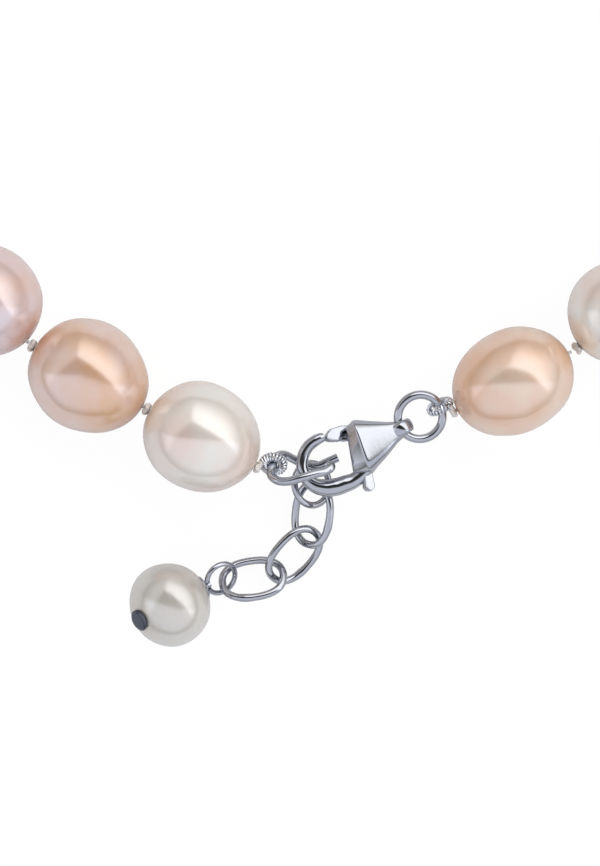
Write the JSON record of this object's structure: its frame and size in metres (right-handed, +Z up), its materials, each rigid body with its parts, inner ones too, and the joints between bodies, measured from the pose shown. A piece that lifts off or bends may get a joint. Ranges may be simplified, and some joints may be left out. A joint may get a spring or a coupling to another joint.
{
  "type": "pearl necklace",
  "caption": "Knotted freshwater pearl necklace with a lobster clasp, oval and round jump rings, French wire ends and a short extension chain with a pearl drop.",
  "frame": {"origin": "middle of the whole piece on the table it lies on", "axes": "+Z up from the table, -Y towards the clasp, +X to the right of the clasp when seen from above with the strand behind it"},
  "size_m": [0.1267, 0.1688, 0.0088],
  "materials": {
    "pearl_white": "gloss",
    "pearl_lilac": "gloss",
    "pearl_peach": "gloss",
    "pearl_apricot": "gloss",
    "silk": "matte",
    "silver_plate": "polished",
    "french_wire": "satin",
    "spring_steel": "satin"
  },
  "bodies": {
    "pearl_01": {"pearl_01": "pearl_white", "left_gimp": "french_wire"},
    "pearl_02": {"pearl_02": "pearl_peach"},
    "pearl_03": {"pearl_03": "pearl_lilac"},
    "pearl_04": {"pearl_04": "pearl_white"},
    "pearl_05": {"pearl_05": "pearl_apricot"},
    "pearl_06": {"pearl_06": "pearl_lilac"},
    "pearl_07": {"pearl_07": "pearl_white"},
    "pearl_08": {"pearl_08": "pearl_peach"},
    "pearl_09": {"pearl_09": "pearl_white"},
    "pearl_10": {"pearl_10": "pearl_peach"},
    "pearl_11": {"pearl_11": "pearl_lilac"},
    "pearl_12": {"pearl_12": "pearl_white"},
    "pearl_13": {"pearl_13": "pearl_apricot"},
    "pearl_14": {"pearl_14": "pearl_lilac"},
    "pearl_15": {"pearl_15": "pearl_white"},
    "pearl_16": {"pearl_16": "pearl_peach"},
    "pearl_17": {"pearl_17": "pearl_white"},
    "pearl_18": {"pearl_18": "pearl_peach"},
    "pearl_19": {"pearl_19": "pearl_lilac"},
    "pearl_20": {"pearl_20": "pearl_white"},
    "pearl_21": {"pearl_21": "pearl_apricot", "thread": "silk"},
    "pearl_22": {"pearl_22": "pearl_lilac"},
    "pearl_23": {"pearl_23": "pearl_white"},
    "pearl_24": {"pearl_24": "pearl_peach"},
    "pearl_25": {"pearl_25": "pearl_white"},
    "pearl_26": {"pearl_26": "pearl_peach"},
    "pearl_27": {"pearl_27": "pearl_lilac"},
    "pearl_28": {"pearl_28": "pearl_white"},
    "pearl_29": {"pearl_29": "pearl_apricot"},
    "pearl_30": {"pearl_30": "pearl_lilac"},
    "pearl_31": {"pearl_31": "pearl_white"},
    "pearl_32": {"pearl_32": "pearl_peach"},
    "pearl_33": {"pearl_33": "pearl_white"},
    "pearl_34": {"pearl_34": "pearl_peach"},
    "pearl_35": {"pearl_35": "pearl_lilac"},
    "pearl_36": {"pearl_36": "pearl_white"},
    "pearl_37": {"pearl_37": "pearl_apricot"},
    "pearl_38": {"pearl_38": "pearl_lilac"},
    "pearl_39": {"pearl_39": "pearl_lilac"},
    "pearl_40": {"pearl_40": "pearl_white"},
    "pearl_41": {"pearl_41": "pearl_apricot", "right_gimp": "french_wire"},
    "left_ring": {"left_ring": "silver_plate"},
    "chain_ring": {"chain_ring": "silver_plate"},
    "chain_link_1": {"chain_link_1": "silver_plate"},
    "chain_link_2": {"chain_link_2": "silver_plate"},
    "chain_link_3": {"chain_link_3": "silver_plate"},
    "drop_pin": {"drop_pin": "silver_plate", "drop_cap": "silver_plate"},
    "drop_pearl": {"drop_pearl": "pearl_white"},
    "right_ring": {"right_ring": "silver_plate"},
    "clasp": {"clasp_body": "silver_plate", "clasp_pin": "spring_steel", "clasp_spring": "spring_steel"},
    "clasp_lever": {"clasp_lever": "silver_plate"}
  },
  "joints": [
    {"name": "strand_flex", "type": "hinge", "parent": "pearl_21", "child": "pearl_22", "pos_m": [0.00265, 0.08053, 0.0044], "axis": [0, 0, 1], "range_deg": [-4.6, 4.6], "deforming": ["thread"]},
    {"name": "knot_22", "type": "hinge", "parent": "pearl_22", "child": "pearl_23", "pos_m": [0.01263, 0.07927, 0.0044], "axis": [0, 0, 1], "range_deg": [-8.65, 8.65]},
    {"name": "knot_23", "type": "hinge", "parent": "pearl_23", "child": "pearl_24", "pos_m": [0.02178, 0.07642, 0.0044], "axis": [0, 0, 1], "range_deg": [-7.44, 7.44]},
    {"name": "knot_24", "type": "hinge", "parent": "pearl_24", "child": "pearl_25", "pos_m": [0.03068, 0.07183, 0.0044], "axis": [0, 0, 1], "range_deg": [-5.62, 5.62]},
    {"name": "knot_25", "type": "hinge", "parent": "pearl_25", "child": "pearl_26", "pos_m": [0.03874, 0.06572, 0.0044], "axis": [0, 0, 1], "range_deg": [-3.4, 3.4]},
    {"name": "knot_26", "type": "hinge", "parent": "pearl_26", "child": "pearl_27", "pos_m": [0.04544, 0.05861, 0.0044], "axis": [0, 0, 1], "range_deg": [-1.01, 1.01]},
    {"name": "knot_27", "type": "hinge", "parent": "pearl_27", "child": "pearl_28", "pos_m": [0.05088, 0.05054, 0.0044], "axis": [0, 0, 1], "range_deg": [-1.5, 1.5]},
    {"name": "knot_28", "type": "hinge", "parent": "pearl_28", "child": "pearl_29", "pos_m": [0.055, 0.04174, 0.0044], "axis": [0, 0, 1], "range_deg": [-4.03, 4.03]},
    {"name": "knot_29", "type": "hinge", "parent": "pearl_29", "child": "pearl_30", "pos_m": [0.05774, 0.03255, 0.0044], "axis": [0, 0, 1], "range_deg": [-6.46, 6.46]},
    {"name": "knot_30", "type": "hinge", "parent": "pearl_30", "child": "pearl_31", "pos_m": [0.05915, 0.02312, 0.0044], "axis": [0, 0, 1], "range_deg": [-8.61, 8.61]},
    {"name": "knot_31", "type": "hinge", "parent": "pearl_31", "child": "pearl_32", "pos_m": [0.05931, 0.01333, 0.0044], "axis": [0, 0, 1], "range_deg": [-10.3, 10.3]},
    {"name": "knot_32", "type": "hinge", "parent": "pearl_32", "child": "pearl_33", "pos_m": [0.05824, 0.0035, 0.0044], "axis": [0, 0, 1], "range_deg": [-11.15, 11.15]},
    {"name": "knot_33", "type": "hinge", "parent": "pearl_33", "child": "pearl_34", "pos_m": [0.05599, -0.00638, 0.0044], "axis": [0, 0, 1], "range_deg": [-10.85, 10.85]},
    {"name": "knot_34", "type": "hinge", "parent": "pearl_34", "child": "pearl_35", "pos_m": [0.05281, -0.01554, 0.0044], "axis": [0, 0, 1], "range_deg": [-9.23, 9.23]},
    {"name": "knot_35", "type": "hinge", "parent": "pearl_35", "child": "pearl_36", "pos_m": [0.04874, -0.0243, 0.0044], "axis": [0, 0, 1], "range_deg": [-6.26, 6.26]},
    {"name": "knot_36", "type": "hinge", "parent": "pearl_36", "child": "pearl_37", "pos_m": [0.04379, -0.03272, 0.0044], "axis": [0, 0, 1], "range_deg": [-2.09, 2.09]},
    {"name": "knot_37", "type": "hinge", "parent": "pearl_37", "child": "pearl_38", "pos_m": [0.03789, -0.04096, 0.0044], "axis": [0, 0, 1], "range_deg": [-2.99, 2.99]},
    {"name": "knot_38", "type": "hinge", "parent": "pearl_38", "child": "pearl_39", "pos_m": [0.03166, -0.04824, 0.0044], "axis": [0, 0, 1], "range_deg": [-7.83, 7.83]},
    {"name": "knot_39", "type": "hinge", "parent": "pearl_39", "child": "pearl_40", "pos_m": [0.02486, -0.05497, 0.0044], "axis": [0, 0, 1], "range_deg": [-11.97, 11.97]},
    {"name": "knot_40", "type": "hinge", "parent": "pearl_40", "child": "pearl_41", "pos_m": [0.01769, -0.06098, 0.0044], "axis": [0, 0, 1], "range_deg": [-14.68, 14.68]},
    {"name": "knot_20", "type": "hinge", "parent": "pearl_21", "child": "pearl_20", "pos_m": [-0.00697, 0.08003, 0.0044], "axis": [0, 0, 1], "range_deg": [-8.94, 8.94]},
    {"name": "knot_19", "type": "hinge", "parent": "pearl_20", "child": "pearl_19", "pos_m": [-0.0167, 0.07777, 0.0044], "axis": [0, 0, 1], "range_deg": [-7.9, 7.9]},
    {"name": "knot_18", "type": "hinge", "parent": "pearl_19", "child": "pearl_18", "pos_m": [-0.02557, 0.074, 0.0044], "axis": [0, 0, 1], "range_deg": [-6.27, 6.27]},
    {"name": "knot_17", "type": "hinge", "parent": "pearl_18", "child": "pearl_17", "pos_m": [-0.03407, 0.06852, 0.0044], "axis": [0, 0, 1], "range_deg": [-4.12, 4.12]},
    {"name": "knot_16", "type": "hinge", "parent": "pearl_17", "child": "pearl_16", "pos_m": [-0.04125, 0.062, 0.0044], "axis": [0, 0, 1], "range_deg": [-1.8, 1.8]},
    {"name": "knot_15", "type": "hinge", "parent": "pearl_16", "child": "pearl_15", "pos_m": [-0.04745, 0.05422, 0.0044], "axis": [0, 0, 1], "range_deg": [-0.94, 0.94]},
    {"name": "knot_14", "type": "hinge", "parent": "pearl_15", "child": "pearl_14", "pos_m": [-0.05238, 0.0456, 0.0044], "axis": [0, 0, 1], "range_deg": [-3.09, 3.09]},
    {"name": "knot_13", "type": "hinge", "parent": "pearl_14", "child": "pearl_13", "pos_m": [-0.05601, 0.03635, 0.0044], "axis": [0, 0, 1], "range_deg": [-5.4, 5.4]},
    {"name": "knot_12", "type": "hinge", "parent": "pearl_13", "child": "pearl_12", "pos_m": [-0.05829, 0.02689, 0.0044], "axis": [0, 0, 1], "range_deg": [-7.45, 7.45]},
    {"name": "knot_11", "type": "hinge", "parent": "pearl_12", "child": "pearl_11", "pos_m": [-0.05931, 0.01725, 0.0044], "axis": [0, 0, 1], "range_deg": [-9.12, 9.12]},
    {"name": "knot_10", "type": "hinge", "parent": "pearl_11", "child": "pearl_10", "pos_m": [-0.05915, 0.00719, 0.0044], "axis": [0, 0, 1], "range_deg": [-10.23, 10.23]},
    {"name": "knot_09", "type": "hinge", "parent": "pearl_10", "child": "pearl_09", "pos_m": [-0.05788, -0.00256, 0.0044], "axis": [0, 0, 1], "range_deg": [-10.46, 10.46]},
    {"name": "knot_08", "type": "hinge", "parent": "pearl_09", "child": "pearl_08", "pos_m": [-0.05566, -0.01177, 0.0044], "axis": [0, 0, 1], "range_deg": [-9.68, 9.68]},
    {"name": "knot_07", "type": "hinge", "parent": "pearl_08", "child": "pearl_07", "pos_m": [-0.05245, -0.02098, 0.0044], "axis": [0, 0, 1], "range_deg": [-7.75, 7.75]},
    {"name": "knot_06", "type": "hinge", "parent": "pearl_07", "child": "pearl_06", "pos_m": [-0.04848, -0.02963, 0.0044], "axis": [0, 0, 1], "range_deg": [-4.81, 4.81]},
    {"name": "knot_05", "type": "hinge", "parent": "pearl_06", "child": "pearl_05", "pos_m": [-0.0437, -0.03801, 0.0044], "axis": [0, 0, 1], "range_deg": [-0.96, 0.96]},
    {"name": "knot_04", "type": "hinge", "parent": "pearl_05", "child": "pearl_04", "pos_m": [-0.0382, -0.04597, 0.0044], "axis": [0, 0, 1], "range_deg": [-3.35, 3.35]},
    {"name": "knot_03", "type": "hinge", "parent": "pearl_04", "child": "pearl_03", "pos_m": [-0.032, -0.05354, 0.0044], "axis": [0, 0, 1], "range_deg": [-7.65, 7.65]},
    {"name": "knot_02", "type": "hinge", "parent": "pearl_03", "child": "pearl_02", "pos_m": [-0.02522, -0.06056, 0.0044], "axis": [0, 0, 1], "range_deg": [-11.29, 11.29]},
    {"name": "knot_01", "type": "hinge", "parent": "pearl_02", "child": "pearl_01", "pos_m": [-0.01625, -0.06553, 0.0044], "axis": [0, 0, 1], "range_deg": [-14.4, 14.4]},
    {"name": "left_ring_swing", "type": "hinge", "parent": "pearl_01", "child": "left_ring", "pos_m": [-0.00612, -0.07002, 0.0038], "axis": [0.0298, 0.3406, -0.9397], "range_deg": [-5, 5]},
    {"name": "right_ring_swing", "type": "hinge", "parent": "pearl_41", "child": "right_ring", "pos_m": [0.00701, -0.06547, 0.0038], "axis": [-0.4441, 0.8715, 0.2079], "range_deg": [-2, 2]},
    {"name": "clasp_swing", "type": "hinge", "parent": "right_ring", "child": "clasp", "pos_m": [0.00387, -0.06711, 0.0038], "axis": [0.454, -0.891, 0], "range_deg": [-4, 4]},
    {"name": "lever_pivot", "type": "hinge", "parent": "clasp", "child": "clasp_lever", "pos_m": [0.00081, -0.06782, 0.0038], "axis": [0, 0, 1], "range_deg": [0, 32], "stiffness_Nm_per_rad": 0.0002, "springref_deg": -20.05, "deforming": ["clasp_spring"]},
    {"name": "chain_ring_swing", "type": "hinge", "parent": "left_ring", "child": "chain_ring", "pos_m": [-0.00377, -0.06993, 0.00185], "axis": [0, 0, 1], "range_deg": [-6, 8]},
    {"name": "link_1_swing", "type": "hinge", "parent": "chain_ring", "child": "chain_link_1", "pos_m": [-0.00325, -0.07284, 0.0014], "axis": [0, 0, 1], "range_deg": [-8, 12]},
    {"name": "link_2_swing", "type": "hinge", "parent": "chain_link_1", "child": "chain_link_2", "pos_m": [-0.0032, -0.07589, 0.00135], "axis": [0, 0, 1], "range_deg": [-8, 18]},
    {"name": "link_3_swing", "type": "hinge", "parent": "chain_link_2", "child": "chain_link_3", "pos_m": [-0.0057, -0.07859, 0.0013], "axis": [0, 0, 1], "range_deg": [-8, 20]},
    {"name": "drop_swing", "type": "hinge", "parent": "chain_link_3", "child": "drop_pin", "pos_m": [-0.00975, -0.07914, 0.0014], "axis": [0, 0, 1], "range_deg": [-10, 20]},
    {"name": "drop_spin", "type": "hinge", "parent": "drop_pin", "child": "drop_pearl", "pos_m": [-0.01432, -0.0811, 0.00335], "axis": [0.8391, 0.4093, -0.3584], "continuous": true}
  ],
  "couplings": [
    {"joint": "knot_22", "follows": "strand_flex", "ratio": 0.94046},
    {"joint": "knot_23", "follows": "strand_flex", "ratio": 0.80881},
    {"joint": "knot_24", "follows": "strand_flex", "ratio": 0.6114},
    {"joint": "knot_25", "follows": "strand_flex", "ratio": 0.36913},
    {"joint": "knot_26", "follows": "strand_flex", "ratio": 0.10971},
    {"joint": "knot_27", "follows": "strand_flex", "ratio": -0.16259},
    {"joint": "knot_28", "follows": "strand_flex", "ratio": -0.43841},
    {"joint": "knot_29", "follows": "strand_flex", "ratio": -0.70193},
    {"joint": "knot_30", "follows": "strand_flex", "ratio": -0.93573},
    {"joint": "knot_31", "follows": "strand_flex", "ratio": -1.1193},
    {"joint": "knot_32", "follows": "strand_flex", "ratio": -1.2128},
    {"joint": "knot_33", "follows": "strand_flex", "ratio": -1.1797},
    {"joint": "knot_34", "follows": "strand_flex", "ratio": -1.003},
    {"joint": "knot_35", "follows": "strand_flex", "ratio": -0.68089},
    {"joint": "knot_36", "follows": "strand_flex", "ratio": -0.22726},
    {"joint": "knot_37", "follows": "strand_flex", "ratio": 0.32494},
    {"joint": "knot_38", "follows": "strand_flex", "ratio": 0.85158},
    {"joint": "knot_39", "follows": "strand_flex", "ratio": 1.301},
    {"joint": "knot_40", "follows": "strand_flex", "ratio": 1.5962},
    {"joint": "knot_20", "follows": "strand_flex", "ratio": -0.97197},
    {"joint": "knot_19", "follows": "strand_flex", "ratio": -0.85848},
    {"joint": "knot_18", "follows": "strand_flex", "ratio": -0.68171},
    {"joint": "knot_17", "follows": "strand_flex", "ratio": -0.44749},
    {"joint": "knot_16", "follows": "strand_flex", "ratio": -0.19519},
    {"joint": "knot_15", "follows": "strand_flex", "ratio": -0.10222},
    {"joint": "knot_14", "follows": "strand_flex", "ratio": 0.33641},
    {"joint": "knot_13", "follows": "strand_flex", "ratio": 0.58744},
    {"joint": "knot_12", "follows": "strand_flex", "ratio": 0.81037},
    {"joint": "knot_11", "follows": "strand_flex", "ratio": 0.99168},
    {"joint": "knot_10", "follows": "strand_flex", "ratio": 1.1121},
    {"joint": "knot_09", "follows": "strand_flex", "ratio": 1.1369},
    {"joint": "knot_08", "follows": "strand_flex", "ratio": 1.0527},
    {"joint": "knot_07", "follows": "strand_flex", "ratio": 0.84301},
    {"joint": "knot_06", "follows": "strand_flex", "ratio": 0.52249},
    {"joint": "knot_05", "follows": "strand_flex", "ratio": 0.10475},
    {"joint": "knot_04", "follows": "strand_flex", "ratio": -0.36455},
    {"joint": "knot_03", "follows": "strand_flex", "ratio": -0.83156},
    {"joint": "knot_02", "follows": "strand_flex", "ratio": -1.2275},
    {"joint": "knot_01", "follows": "strand_flex", "ratio": -1.5653}
  ]
}
